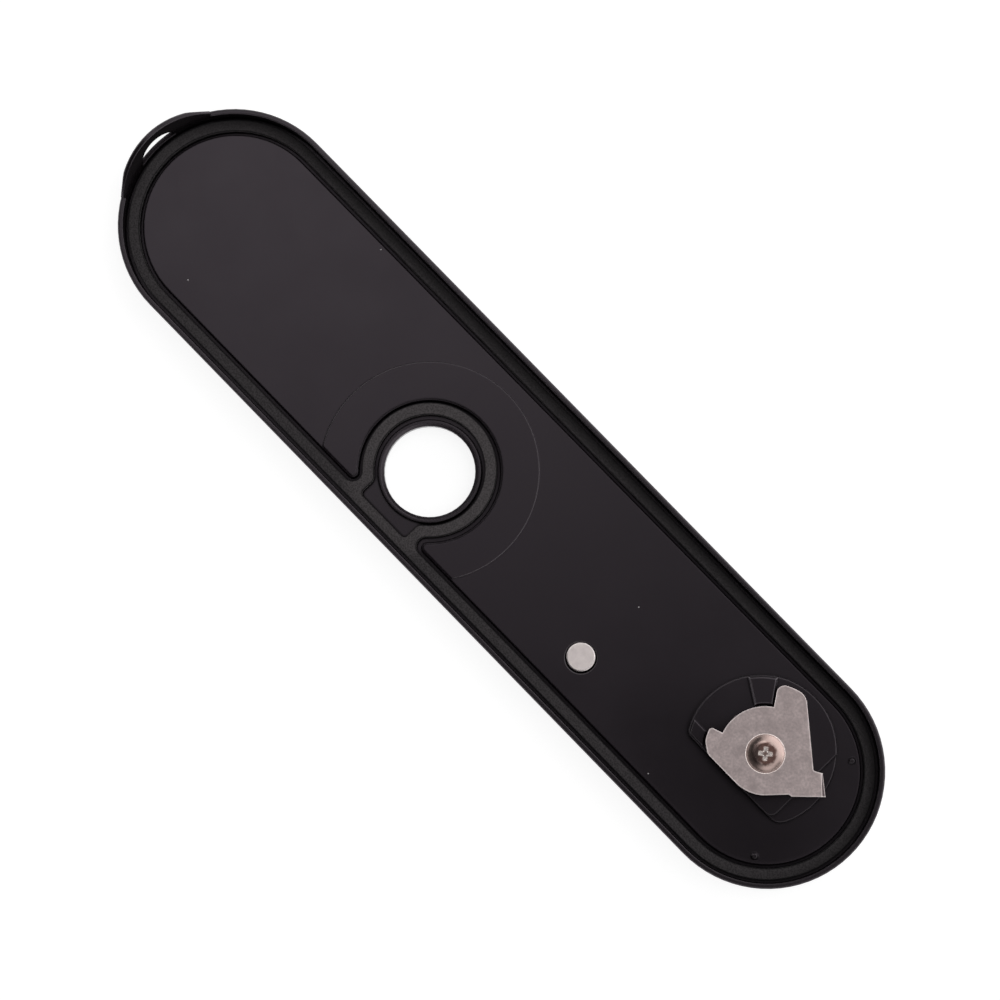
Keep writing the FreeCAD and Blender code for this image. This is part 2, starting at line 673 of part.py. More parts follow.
def make_seal_gasket():
    """The foam seal: a ring in the groove, a loop round the tripod hole and a window beside it."""
    body = new_body("seal_gasket")
    ring = new_sketch(body, "seal_ring", ("sizes.centre_x", "sizes.centre_y", "sizes.groove_level"))
    add_stadium(ring, HALF_SPAN, SEAL_OUTER)
    add_stadium(ring, HALF_SPAN, SEAL_INNER)
    pad(body, ring, "sizes.seal_height")

    loop_place = ("sizes.loop_shift_x", "sizes.loop_shift_y")
    loop_outer = "(sizes.bay_radius - sizes.seal_gap)"
    loop_inner = f"({loop_outer} - sizes.loop_width)"
    loop = new_sketch(body, "seal_loop", (*loop_place, "sizes.groove_level"))
    add_circle(loop, loop_outer)
    add_circle(loop, loop_inner)
    pad(body, loop, "sizes.seal_height")

    run_y = f"(sizes.centre_y - {SEAL_INNER} - sizes.loop_shift_y)"
    run_level = value(run_y)

    def corner_test(x, y):
        shift_x = value("sizes.loop_shift_x")
        shift_y = value("sizes.loop_shift_y")
        places = ((shift_x + x, shift_y + y), (shift_x - x, shift_y + y))
        return lambda edge: any(upright_at(edge, *place) for place in places)

    outer_x = math.sqrt(value(loop_outer) ** 2 - run_level ** 2)
    dress(body, "Fillet", "arm_corners", "sizes.bay_round + sizes.seal_gap", corner_test(outer_x, run_level))

    window = new_sketch(body, "seal_window",
                        (*loop_place, "sizes.groove_level + sizes.seal_height"))
    add_rectangle(window, "-sizes.window_half", run_y, "sizes.window_half", f"-{loop_inner} / 2")
    pocket(body, window, "sizes.seal_height")
    window_half = value("sizes.window_half")
    inner_y = -math.sqrt(value(loop_inner) ** 2 - window_half ** 2)
    dress(body, "Fillet", "window_corners", "sizes.window_round", corner_test(window_half, run_level))
    dress(body, "Fillet", "window_mouth", "sizes.mouth_round", corner_test(window_half, inner_y))
    return body


def make_sensor_magnet():
    body = new_body("sensor_magnet")
    low = "sizes.floor_level + sizes.magnet_proud - sizes.magnet_height"
    disc = new_sketch(body, "magnet_disc", ("sizes.magnet_x", "sizes.magnet_y", low))
    add_circle(disc, "sizes.magnet_radius")
    pad(body, disc, "sizes.magnet_height")
    top = value("sizes.floor_level + sizes.magnet_proud")
    dress(body, "Chamfer", "magnet_edge", "sizes.magnet_bevel", lambda edge: at_level(edge, top))
    return body


def make_shaft_bush():
    """The flanged bush that lines the bore of the boss."""
    body = new_body("shaft_bush")
    on_lock_axis(body)
    section = new_sketch(body, "bush_section", role="XZ_Plane")
    add_outline(section, (
        (BUSH_BORE, "sizes.recess_depth"),
        (BUSH_OUTER, "sizes.recess_depth"),
        (BUSH_OUTER, "sizes.boss_level"),
        ("sizes.flange_radius", "sizes.boss_level"),
        ("sizes.flange_radius", FLANGE_TOP),
        (BUSH_BORE, FLANGE_TOP),
    ))
    revolve(body, section)
    return body


def make_shaft_o_ring():
    """The rubber ring in the gland of the shaft, with an eight-sided section."""
    body = new_body("shaft_o_ring")
    on_lock_axis(body)
    level = "(sizes.gland_level + sizes.gland_width / 2)"
    half = "sizes.ring_section / 2"
    flat = f"({half} - sizes.ring_bevel)"
    section = new_sketch(body, "ring_outline", role="XZ_Plane")
    add_outline(section, (
        (f"{RING_CENTRE} - {flat}", f"{level} - {half}"),
        (f"{RING_CENTRE} + {flat}", f"{level} - {half}"),
        (f"{RING_CENTRE} + {half}", f"{level} - {flat}"),
        (f"{RING_CENTRE} + {half}", f"{level} + {flat}"),
        (f"{RING_CENTRE} + {flat}", f"{level} + {half}"),
        (f"{RING_CENTRE} - {flat}", f"{level} + {half}"),
        (f"{RING_CENTRE} - {half}", f"{level} + {flat}"),
        (f"{RING_CENTRE} - {half}", f"{level} - {flat}"),
    ))
    revolve(body, section)
    return body


def make_spring_washer():
    """The conical spring washer that pulls the rotor up against the tray."""
    body = new_body("spring_washer")
    on_lock_axis(body)
    section = new_sketch(body, "washer_section", role="XZ_Plane")
    low = f"({FLANGE_TOP} + sizes.spring_fit)"
    add_outline(section, (
        ("sizes.spring_inner", f"{CAM_LEVEL} - sizes.spring_sheet"),
        ("sizes.spring_outer", low),
        ("sizes.spring_outer", f"{low} + sizes.spring_sheet"),
        ("sizes.spring_inner", CAM_LEVEL),
    ))
    revolve(body, section)
    return body


def add_tang(sketch, fit):
    """The double-flat section that keys the cam to the shaft, grown by a fit."""
    radius = f"(sizes.tang_radius + {fit})"
    flat = f"(sizes.tang_flat + {fit})"
    half = f"sqrt({radius} ^ 2 - {flat} ^ 2)"
    add_outline(sketch, (
        (half, f"-{flat}"),
        (half, flat, "left", "0", "0"),
        (f"-{half}", flat),
        (f"-{half}", f"-{flat}", "left", "0", "0"),
    ))


def make_lock_rotor():
    """The turned lock disc with its hub, shaft and seal gland, and the land that backs the folded key."""
    body = new_body("lock_rotor")
    on_lock_axis(body, "sizes.key_turn_angle")
    gland_top = "sizes.gland_level + sizes.gland_width"
    section = new_sketch(body, "rotor_section", role="XZ_Plane")
    add_outline(section, (
        ("0", "sizes.rotor_inset"),
        ("sizes.hub_radius", "sizes.rotor_inset"),
        ("sizes.hub_radius", WEB_LOW),
        ("sizes.rotor_radius", WEB_LOW),
        ("sizes.rotor_radius", WEB_TOP),
        ("sizes.shaft_radius", WEB_TOP),
        ("sizes.shaft_radius", "sizes.gland_level"),
        (GLAND_RADIUS, "sizes.gland_level"),
        (GLAND_RADIUS, gland_top),
        ("sizes.shaft_radius", gland_top),
        ("sizes.shaft_radius", CAM_LEVEL),
        ("0", CAM_LEVEL),
    ))
    revolve(body, section)

    tang = new_sketch(body, "tang", ("0", "0", CAM_LEVEL))
    add_tang(tang, "0")
    pad(body, tang, "sizes.cam_sheet - sizes.tang_short")
    thread = new_sketch(body, "thread_bore", ("0", "0", f"{CAM_TOP} - sizes.tang_short"))
    add_circle(thread, "sizes.thread_radius")
    pocket(body, thread, "sizes.thread_depth")

    land = new_sketch(body, "rotor_land", ("0", "0", "sizes.rotor_inset"))
    edge = "-(sizes.eye_radius + sizes.key_land_gap)"
    outer = f"sqrt(sizes.rotor_radius ^ 2 - {edge} ^ 2)"
    add_outline(land, (
        (outer, edge),
        (f"-{outer}", edge, "right", "0", "0"),
    ))
    pad(body, land, f"{WEB_LOW} - sizes.rotor_inset")

    for side, reverse in (("left", False), ("right", True)):
        sign = "-" if reverse else ""
        hole = new_sketch(body, f"pin_hole_{side}", ("0", PIN_LEVEL, f"{sign}sizes.hub_radius"), "YZ_Plane")
        add_circle(hole, "sizes.pin_radius + sizes.pin_seat_fit")
        pocket(body, hole, "sizes.pin_hold", reverse=reverse)
    return body


def make_lock_key():
    """The folding half-ring key with an eye at each end."""
    body = new_body("lock_key")
    on_lock_axis(body, "sizes.key_turn_angle")
    bow = new_sketch(body, "key_bow", ("0", "0", "sizes.rotor_inset"))
    add_outline(bow, (
        ("sizes.key_outer", "0"),
        ("-sizes.key_outer", "0", "left", "0", "0"),
        (f"-{KEY_INNER}", "0"),
        (KEY_INNER, "0", "right", "0", "0"),
    ))
    pad(body, bow, "2 * sizes.eye_radius")
    outer = value("sizes.key_outer")
    low = value("sizes.rotor_inset")
    dress(body, "Chamfer", "key_outer_edge", "sizes.key_bevel",
          lambda edge: round_edge(edge, outer) and at_level(edge, low))
    eye_width = f"sizes.key_outer - sizes.key_bevel - sizes.eye_step - {KEY_INNER}"
    for side, reverse in (("left", False), ("right", True)):
        sign = "-" if reverse else ""
        eye = new_sketch(body, f"key_eye_{side}", ("0", PIN_LEVEL, f"{sign}{KEY_INNER}"), "YZ_Plane")
        add_circle(eye, "sizes.eye_radius")
        pad(body, eye, eye_width, reverse=reverse)
    bore = new_sketch(body, "key_bore", ("0", PIN_LEVEL, "sizes.key_outer"), "YZ_Plane")
    add_circle(bore, "sizes.pin_radius + sizes.pin_fit")
    pocket(body, bore)
    return body


def make_key_pins():
    """The two short pins, held in the hub, that the key folds on."""
    pins = []
    inner = "(sizes.hub_radius - sizes.pin_hold)"
    length = f"(sizes.key_outer - sizes.pin_short - {inner})"
    for side, start in (("left", inner), ("right", f"-({inner} + {length})")):
        pin = document.addObject("Part::Cylinder", f"key_pin_{side}")
        pin.setExpression("Radius", "sizes.pin_radius")
        pin.setExpression("Height", length)
        pin.Placement.Rotation = FreeCAD.Rotation(FreeCAD.Vector(0, 1, 0), QUARTER_TURN)
        pin.setExpression("Placement.Base.x", start)
        pin.setExpression("Placement.Base.z", PIN_LEVEL)
        pins.append(pin)
    pair = document.addObject("Part::Compound", "key_pins")
    pair.Label = "key_pins"
    pair.Links = pins
    on_lock_axis(pair, "sizes.key_turn_angle")
    return pair


def make_lock_cam():
    """The stamped cam: a hub with a stop spur, a long horn and an arm that ends in a bent lip."""
    body = new_body("lock_cam")
    on_lock_axis(body)
    flat = "-sizes.lock_flat"
    tip = ("sizes.arm_tip_x", "sizes.arm_tip_y")
    arm_top = ("sizes.arm_top_x", "sizes.arm_top_y")
    foot = (
        "sizes.arm_tip_x - sizes.arm_edge * cos(sizes.arm_angle)",
        "sizes.arm_tip_y - sizes.arm_edge * sin(sizes.arm_angle)",
    )
    shape = new_sketch(body, "cam_outline", ("0", "0", CAM_LEVEL))
    add_outline(shape, (
        (*polar("sizes.cam_hub", "sizes.spur_start_angle"), "left", "0", "0"),
        polar("sizes.spur_radius", "sizes.spur_start_angle"),
        (*polar("sizes.spur_radius", "sizes.spur_end_angle"), "left", "0", "0"),
        ("sizes.flat_end", flat),
        ("0", flat),
        (*polar("sizes.lock_flat", "sizes.belly_angle"), "left", "0", "0"),
        ("sizes.jog_x", "sizes.jog_y"),
        foot,
        tip,
        arm_top,
        ("sizes.arm_root_x", "sizes.arm_root_y"),
        polar("sizes.horn_radius", "sizes.horn_right_angle"),
        (*polar("sizes.horn_radius", "sizes.horn_left_angle"), "left", "0", "0"),
        polar("sizes.cam_hub", "sizes.horn_left_angle"),
    ))
    pad(body, shape, "sizes.cam_sheet")

    def round_corner(name, size, x, y):
        place = (value(x), value(y))
        dress(body, "Fillet", name, size, lambda edge: upright_at(edge, *place))

    for side in ("left", "right"):
        horn_corner = polar("sizes.horn_radius", f"sizes.horn_{side}_angle")
        round_corner(f"horn_{side}", f"sizes.horn_{side}_round", *horn_corner)
    round_corner("arm_root", "sizes.arm_root_round", "sizes.arm_root_x", "sizes.arm_root_y")
    round_corner("spur_tip", "sizes.spur_tip_round", *polar("sizes.spur_radius", "sizes.spur_start_angle"))
    round_corner("spur_heel", "sizes.spur_heel_round", *polar("sizes.spur_radius", "sizes.spur_end_angle"))
    round_corner("spur_foot", "sizes.spur_heel_round", "sizes.flat_end", flat)
    cam_top = value(CAM_TOP)
    dress(body, "Chamfer", "cam_edge", "sizes.cam_bevel", lambda edge: at_level(edge, cam_top))

    def beyond_end(point, distance):
        turns = ("cos(sizes.arm_angle)", "sin(sizes.arm_angle)")
        return tuple(f"({spot} + {distance} * {turn})" for spot, turn in zip(point, turns))

    lip_top = f"({CAM_TOP} - sizes.lip_set)"
    lip_ends = (beyond_end(tip, "sizes.lip_flare"), beyond_end(arm_top, "sizes.lip_root"))
    lip_backs = (beyond_end(arm_top, "-sizes.lip_sheet"), beyond_end(tip, "-sizes.lip_sheet"))
    lip = new_sketch(body, "bent_lip", ("0", "0", lip_top))
    add_outline(lip, (*lip_ends, *lip_backs))
    pad(body, lip, "sizes.cam_sheet - sizes.lip_set + sizes.lip_drop", reverse=True)
    lip_middle = [value(f"({first} + {second}) / 2") for first, second in zip(*lip_ends)]
    bend = FreeCAD.Vector(*lip_middle, value(lip_top))
    dress(body, "Fillet", "lip_bend", "sizes.lip_round",
          lambda edge: edge.BoundBox.Center.distanceToPoint(bend) < SAME_PLACE)

    keyway = new_sketch(body, "cam_keyway", ("0", "0", CAM_TOP), turn="sizes.key_turn_angle")
    add_tang(keyway, "sizes.tang_fit")
    pocket(body, keyway, "sizes.cam_sheet")
    return body


def make_cam_screw():
    """The domed screw with a cross recess that clamps the cam to the shaft."""
    body = new_body("cam_screw")
    on_lock_axis(body)
    shank = "(sizes.thread_radius - sizes.thread_fit)"
    crown = f"({CAM_TOP} + sizes.head_height)"
    edge = f"({CAM_TOP} + sizes.head_edge)"
    shoulder = "(sizes.head_radius - sizes.head_bevel)"
    drop = "(sizes.head_height - sizes.head_edge - sizes.head_bevel)"
    across = f"({shoulder} - sizes.crown_radius)"
    dome = f"(({across} ^ 2 + {drop} ^ 2) / (2 * {drop}))"
    section = new_sketch(body, "screw_section", role="XZ_Plane")
    add_outline(section, (
        ("0", f"{CAM_TOP} - sizes.shank_length"),
        (shank, f"{CAM_TOP} - sizes.shank_length"),
        (shank, CAM_TOP),
        ("sizes.head_radius", CAM_TOP),
        ("sizes.head_radius", edge),
        (shoulder, f"{edge} + sizes.head_bevel"),
        ("sizes.crown_radius", crown, "left", "sizes.crown_radius", f"{crown} - {dome}"),
        ("0", crown),
    ))
    revolve(body, section)

    cross = new_sketch(body, "cross_recess", ("0", "0", crown))
    arm = "sizes.cross_length / 2"
    half = "sizes.cross_width / 2"
    add_outline(cross, (
        (arm, f"-{half}"),
        (arm, half),
        (half, half),
        (half, arm),
        (f"-{half}", arm),
        (f"-{half}", half),
        (f"-{arm}", half),
        (f"-{arm}", f"-{half}"),
        (f"-{half}", f"-{half}"),
        (f"-{half}", f"-{arm}"),
        (half, f"-{arm}"),
        (half, f"-{half}"),
    ))
    pocket(body, cross, "sizes.cross_depth")
    crown_level = value(crown)
    crown_radius = value("sizes.crown_radius")
    dress(body, "Chamfer", "cross_edge", "sizes.cross_bevel",
          lambda edge: at_level(edge, crown_level) and not round_edge(edge, crown_radius))
    return body


pieces = (
    make_base_shell(),
    make_seal_gasket(),
    make_sensor_magnet(),
    make_shaft_bush(),
    make_shaft_o_ring(),
    make_lock_rotor(),
    make_key_pins(),
    make_lock_key(),
    make_spring_washer(),
    make_lock_cam(),
    make_cam_screw(),
)
document.recompute()

for item in document.Objects:
    if "Invalid" in item.State or "Error" in item.State:
        raise RuntimeError(f"{item.Name} did not compute")
for piece in pieces:
    if piece.Shape.isNull() or not piece.Shape.isValid():
        raise RuntimeError(f"{piece.Label} has no valid shape")

os.makedirs("parts", exist_ok=True)
for piece in pieces:
    piece.Shape.exportStep(f"parts/{piece.Label}.step")
    box = piece.Shape.BoundBox
    print(f"{piece.Label}: {piece.Shape.Volume:.1f} mm3, x {box.XMin:.2f} to {box.XMax:.2f},"
          f" y {box.YMin:.2f} to {box.YMax:.2f}, z {box.ZMin:.2f} to {box.ZMax:.2f},"
          f" solids {len(piece.Shape.Solids)}")
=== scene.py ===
import json
import math

import bpy
from mathutils import Euler, Matrix, Vector


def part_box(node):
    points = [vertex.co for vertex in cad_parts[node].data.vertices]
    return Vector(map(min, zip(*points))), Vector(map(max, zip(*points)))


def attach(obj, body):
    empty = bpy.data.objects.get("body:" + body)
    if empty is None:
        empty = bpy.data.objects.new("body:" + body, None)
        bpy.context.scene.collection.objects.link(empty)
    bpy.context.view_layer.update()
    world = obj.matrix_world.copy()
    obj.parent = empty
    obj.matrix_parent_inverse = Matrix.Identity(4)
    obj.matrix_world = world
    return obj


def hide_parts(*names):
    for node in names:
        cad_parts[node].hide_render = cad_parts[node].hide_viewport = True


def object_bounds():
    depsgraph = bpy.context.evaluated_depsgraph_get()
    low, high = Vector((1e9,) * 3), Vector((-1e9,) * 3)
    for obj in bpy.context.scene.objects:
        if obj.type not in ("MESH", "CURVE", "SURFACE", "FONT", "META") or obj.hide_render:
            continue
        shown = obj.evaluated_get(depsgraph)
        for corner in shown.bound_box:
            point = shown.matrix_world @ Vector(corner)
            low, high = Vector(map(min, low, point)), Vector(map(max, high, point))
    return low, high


# The looks of the camera base plate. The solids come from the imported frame, in metres, with the datum on
# the axis of the tripod hole at the outer face. +X runs to the lock end and +Z is the inner side.

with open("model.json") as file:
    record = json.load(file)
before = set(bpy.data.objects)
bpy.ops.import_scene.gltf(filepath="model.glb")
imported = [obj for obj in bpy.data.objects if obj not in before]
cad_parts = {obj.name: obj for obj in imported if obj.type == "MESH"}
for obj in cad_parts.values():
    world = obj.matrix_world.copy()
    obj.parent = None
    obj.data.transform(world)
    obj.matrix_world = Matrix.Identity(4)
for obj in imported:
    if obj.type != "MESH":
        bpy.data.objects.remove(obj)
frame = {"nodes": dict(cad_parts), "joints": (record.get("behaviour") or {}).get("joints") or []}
cad_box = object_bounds()

MM = 0.001

# The plate's outline without its tongue: round ends about a straight middle line
PLATE_LENGTH = 138.5 * MM
shell_low, shell_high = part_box("base_shell")
PLATE_CENTRE = Vector((shell_high.x - PLATE_LENGTH / 2, (shell_low.y + shell_high.y) / 2, 0.0))
HALF_SPAN = PLATE_LENGTH / 2 - (shell_high.y - shell_low.y) / 2

# Upright axes of the tripod hole and of the lock
HOLE_AXIS = Vector()
lock_joint = next(joint for joint in frame["joints"] if joint["name"] == "lock_turn")
LOCK_AXIS = Vector((*lock_joint["pos_m"][:2], 0.0))

# Each zone below is a pair: where a look is gone, or least, and where it is full.
# Black finish: the first three zones are measured from the middle line, the zone of the painted edge
# highlight from the hole's axis, LOCK_ZONE from the lock's axis and LOCK_SIDE along Y. The shares are of
# the painted edge highlight and wear by the hole and between the patches, of painted shade beside the lock
# and at its foot, and of the rim's grain on the floor.
RIM_ZONE = (12.95 * MM, 15.5 * MM)
FLOOR_ZONE = (12.6 * MM, 12.3 * MM)
TONGUE_ZONE = (16.2 * MM, 16.5 * MM)
EDGE_LIGHT_ZONE = (10.4 * MM, 11.4 * MM)
LOCK_ZONE = (22.0 * MM, 12.0 * MM)
LOCK_SIDE = (10.0 * MM, 0.0)
LEAST_EDGE_LIGHT = 0.25
PATCHY_EDGE_LIGHT = 0.6
PATCHY_SPAN = (0.25, 0.6)
LOCK_SHADE = 0.24
FOOT_SHADE = 0.95
FLOOR_GRAIN = 0.1
EDGE_ROUND = 0.25 * MM

# Foam: the painted light on the loop from the hole's axis, the painted shade by the +Y rim from the middle
# line and either way across the plate
LOOP_ZONE = (12.5 * MM, 11.0 * MM)
FOAM_SHADE = (13.6 * MM, 15.0 * MM)
FOAM_SIDE = 12.0 * MM
FOAM_CELL = 0.24 * MM
FOAM_CELL_SPAN = (0.1, 0.7)

# Stamped steel: the depth of the sheared sides below the top, and the fine grey spots
SHEARED_DEPTH = (0.06 * MM, 0.16 * MM)
FACE_SPAN = (0.34, 0.66)
SPOT_SPAN = (0.4, 0.65)
SPOT_SHARE = 0.5
FINE_SHARE = 0.5

# Screw: its turn in degrees, and its stain and marks from its axis, the painted dark reflection on one side
# along one direction as well
SCREW_TURN = 40.0
CROWN_STAIN = (1.65 * MM, 1.3 * MM)
CROWN_RAGGED = 0.2 * MM
DARK_REFLECTION_AZIMUTH = 226.0
DARK_REFLECTION_SIDE = (0.2 * MM, 1.2 * MM)
DARK_REFLECTION_RADIUS = (2.4 * MM, 1.7 * MM)
DULL_BORDER = (2.35 * MM, 2.6 * MM)

# Satin black: the span of the noise over which it turns into a rubbed spot
SATIN_SPAN = (0.35, 0.7)

# Most of a noise lies in the first span. Marks on outer edges, painted highlights, painted shade and some
# wear, run over the second, in shares of open space.
NOISE_SPAN = (0.3, 0.7)
EDGE_SPAN = (0.97, 0.7)
OPENNESS_SAMPLES = 8
ROUNDING_SAMPLES = 6

# Colours, in linear values. A pair is the two ends of a mottled colour.
FLOOR_BLACK = ((0.0026, 0.0014, 0.0024), (0.0036, 0.0020, 0.0034))
RIM_BLACK = ((0.0024, 0.0018, 0.0022), (0.0056, 0.0046, 0.0053))
# Painted highlight along the edges of the black finish, patchy like wear
EDGE_HIGHLIGHT_AND_WEAR = (0.150, 0.138, 0.146)
# Painted shade in the gaps and beside the lock
PAINTED_SHADE_BLACK = (0.0040, 0.0034, 0.0040)
DUST_SPECK = (0.55, 0.53, 0.53)
BLACK_GLEAM = (1.0, 0.87, 0.98)
FOAM_DARK = ((0.0230, 0.0204, 0.0216), (0.0535, 0.0478, 0.0505))
# Painted light on the foam loop round the tripod hole
FOAM_PAINTED_LIT = ((0.0365, 0.0322, 0.0336), (0.0765, 0.0685, 0.0710))
# Painted shade of the foam by the +Y rim, and painted shade along its cut edges
FOAM_SHADED = (0.0180, 0.0160, 0.0170)
FOAM_EDGE_SHADE = (0.0020, 0.0018, 0.0020)
CAM_FACE = ((0.48, 0.40, 0.395), (0.68, 0.57, 0.56))
CAM_SPOT = (0.38, 0.318, 0.316)
CAM_SHEARED = (0.16, 0.120, 0.125)
# Painted highlight on the cam's edges
CAM_EDGE_HIGHLIGHT = (0.98, 0.90, 0.88)
SCREW_BRIGHT = ((0.56, 0.41, 0.37), (0.76, 0.58, 0.53))
SCREW_CROWN = (0.24, 0.135, 0.115)
# Painted dark reflection on one side of the screw head
SCREW_DARK_REFLECTION = (0.11, 0.078, 0.072)
SCREW_BORDER = (0.36, 0.27, 0.25)
# Painted highlights in the screw's cross and on its edges
SCREW_CROSS_HIGHLIGHT = (0.95, 0.86, 0.82)
SCREW_EDGE_HIGHLIGHT = (1.0, 0.93, 0.88)
STEEL = ((0.40, 0.39, 0.38), (0.55, 0.53, 0.52))
NICKEL = ((0.86, 0.77, 0.755), (1.0, 0.91, 0.89))
# Painted highlight on the nickel's edges
NICKEL_EDGE_HIGHLIGHT = (1.0, 0.97, 0.95)
BRASS = ((0.42, 0.29, 0.12), (0.62, 0.46, 0.22))
RUBBER = ((0.010, 0.010, 0.010), (0.022, 0.022, 0.022))
SATIN = ((0.012, 0.011, 0.012), (0.022, 0.021, 0.021))
WHITE = (1.0, 1.0, 1.0)

# Camera, fitted to the reference view: its turn in radians, in the order Y, X, Z, and its place from the
# middle of the plate along its own axes
FRAME_PIXELS = 1000
FOCAL_PIXELS = 4032.0
SENSOR_WIDTH = 36.0
CAMERA_TURN = (0.0708959, 0.0341806, 0.7972059)
CAMERA_SHIFT = Vector((0.05566, -0.28697, 563.1226)) * MM
CAMERA_CLIP = (0.01, 20.0)

# Floor, which glows to the camera and is matt to the light
FLOOR_SIZE = 6.0
FLOOR_GAP = 0.05 * MM
FLOOR_GLOW = 0.85
FLOOR_COLOUR = (0.35, 0.35, 0.35)

# Studio light. The walls turn into the dark ceiling between two sines of elevation. Each panel has an
# azimuth and an elevation, the half angles inside which it is full and outside which it is gone, and a
# radiance. Angles are degrees.
WALL_LIGHT = 1.6
WALL_FADE = (0.26, 0.46)
CEILING_LIGHT = 0.075
PANELS = (
    (163.0, 76.0, 0.5, 12.4, 1.4),
    (78.0, 35.7, 28.0, 56.0, 1.0),
    (-30.0, 55.0, 4.0, 29.0, 0.65),
)


def fill(tree, node, inputs):
    """Set each named input of a node to a value, or link it to a socket."""
    for name, source in inputs.items():
        socket = node.inputs[name]
        if isinstance(source, bpy.types.NodeSocket):
            tree.links.new(source, socket)
        else:
            socket.default_value = source


def add_node(tree, kind, inputs=None, **settings):
    """A shader node with its settings and inputs."""
    made = tree.nodes.new(f"ShaderNode{kind}")
    for name, setting in settings.items():
        setattr(made, name, setting)
    fill(tree, made, inputs or {})
    return made


def math_node(tree, operation, *values, clamp=False):
    made = add_node(tree, "Math", dict(enumerate(values)), operation=operation, use_clamp=clamp)
    return made.outputs[0]


def product(tree, first, *others):
    for other in others:
        first = math_node(tree, "MULTIPLY", first, other)
    return first


def vector_node(tree, operation, first, second, output="Vector"):
    made = add_node(tree, "VectorMath", {0: first, 1: second}, operation=operation)
    return made.outputs[output]


def coordinate(tree, place, name):
    return add_node(tree, "SeparateXYZ", {"Vector": place}).outputs[name]


def new_material(name):
    """A material with one principled shader, which the caller fills in."""
    material = bpy.data.materials.new(name)
    material.use_nodes = True
    tree = material.node_tree
    tree.nodes.clear()
    shader = add_node(tree, "BsdfPrincipled")
    add_node(tree, "OutputMaterial", {"Surface": shader.outputs["BSDF"]})
    place = add_node(tree, "TexCoord").outputs["Object"]
    return material, tree, shader, place


def noise(tree, place, grain_mm, detail=3.0, roughness=0.5):
    """Noise whose lumps are about grain_mm across."""
    made = add_node(tree, "TexNoise", {
        "Vector": place,
        "Scale": 1.0 / (grain_mm * MM),
        "Detail": detail,
        "Roughness": roughness,
    })
    return made.outputs["Fac"]


def spread(tree, factor, low, high, to_low=0.0, to_high=1.0):
    """The factor between low and high, as a value from to_low to to_high."""
    made = add_node(tree, "MapRange", {
        "Value": factor,
        "From Min": low,
        "From Max": high,
        "To Min": to_low,
        "To Max": to_high,
    })
    return made.outputs["Result"]


def vary(tree, factor, low, high):
    """A value that follows a noise from low to high."""
    return spread(tree, factor, *NOISE_SPAN, low, high)


def mottled(tree, factor, colours, span=NOISE_SPAN):
    """A colour that goes from the first to the second as the factor crosses the span."""
    made = add_node(tree, "ValToRGB", {"Fac": factor})
    for element, position, colour in zip(made.color_ramp.elements, span, colours):
        element.position = position
        element.color = (*colour, 1.0)
    return made.outputs["Color"]


def mix_colour(tree, factor, first, second):
    """The first colour where the factor is nothing, and the second where it is one."""
    made = add_node(tree, "Mix", {"Factor": factor}, data_type="RGBA")
    for name, source in (("A_Color", first), ("B_Color", second)):
        socket = next(item for item in made.inputs if item.identifier == name)
        if isinstance(source, bpy.types.NodeSocket):
            tree.links.new(source, socket)
        else:
            socket.default_value = (*source, 1.0)
    return next(item for item in made.outputs if item.identifier == "Result_Color")


def bump(tree, height, depth_mm, strength, below=None):
    """A bump of a depth in millimetres, laid over another normal if one is given."""
    inputs = {"Height": height, "Distance": depth_mm * MM, "Strength": strength}
    if below is not None:
        inputs["Normal"] = below
    return add_node(tree, "Bump", inputs).outputs["Normal"]


def openness(tree, width_mm, **settings):
    """The share of the space within width_mm of a point that is open."""
    inputs = {"Distance": width_mm * MM}
    made = add_node(tree, "AmbientOcclusion", inputs, samples=OPENNESS_SAMPLES, **settings)
    return made.outputs["AO"]


def outer_edges(tree, width_mm):
    """One on the outer edges of a solid, and nothing width_mm away from them."""
    return spread(tree, openness(tree, width_mm, inside=True, only_local=True), *EDGE_SPAN)


def crevice(tree, width_mm, clear=0.85, full=0.4, local=False):
    """One in the inner corners and narrow gaps of the part."""
    return spread(tree, openness(tree, width_mm, only_local=local), clear, full)


def dust(tree, place, spacing_mm, size_mm, share):
    """Sparse round specks on level faces."""
    scale = 1.0 / (spacing_mm * MM)
    made = add_node(tree, "TexVoronoi", {"Vector": place, "Scale": scale}, voronoi_dimensions="2D")
    near = math_node(tree, "LESS_THAN", made.outputs["Distance"], size_mm / spacing_mm)
    draw = add_node(tree, "SeparateColor", {"Color": made.outputs["Color"]}).outputs["Red"]
    return product(tree, near, math_node(tree, "LESS_THAN", draw, share))


def heading(azimuth, elevation):
    """A unit vector from two angles in degrees."""
    flat = math.cos(math.radians(elevation))
    turn = math.radians(azimuth)
    return (flat * math.cos(turn), flat * math.sin(turn), math.sin(math.radians(elevation)))


def axis_distance(tree, place, axis):
    """The distance from an upright axis, in metres."""
    flat = vector_node(tree, "MULTIPLY", place, (1.0, 1.0, 0.0))
    return vector_node(tree, "DISTANCE", flat, axis, "Value")


def plate_radius(tree, place):
    """The distance from the middle line of the plate, in metres."""
    along = math_node(tree, "SUBTRACT", coordinate(tree, place, "X"), PLATE_CENTRE.x)
    along = math_node(tree, "ABSOLUTE", along)
    along = math_node(tree, "SUBTRACT", along, HALF_SPAN)
    along = math_node(tree, "MAXIMUM", along, 0.0)
    across = math_node(tree, "SUBTRACT", coordinate(tree, place, "Y"), PLATE_CENTRE.y)
    total = math_node(tree, "ADD", product(tree, along, along), product(tree, across, across))
    return math_node(tree, "SQRT", total)


def lathe_rings(tree, distance, pitch_mm):
    """A wave from -1 to 1 that repeats every pitch_mm away from an axis."""
    return math_node(tree, "SINE", product(tree, distance, 2 * math.pi / (pitch_mm * MM)))


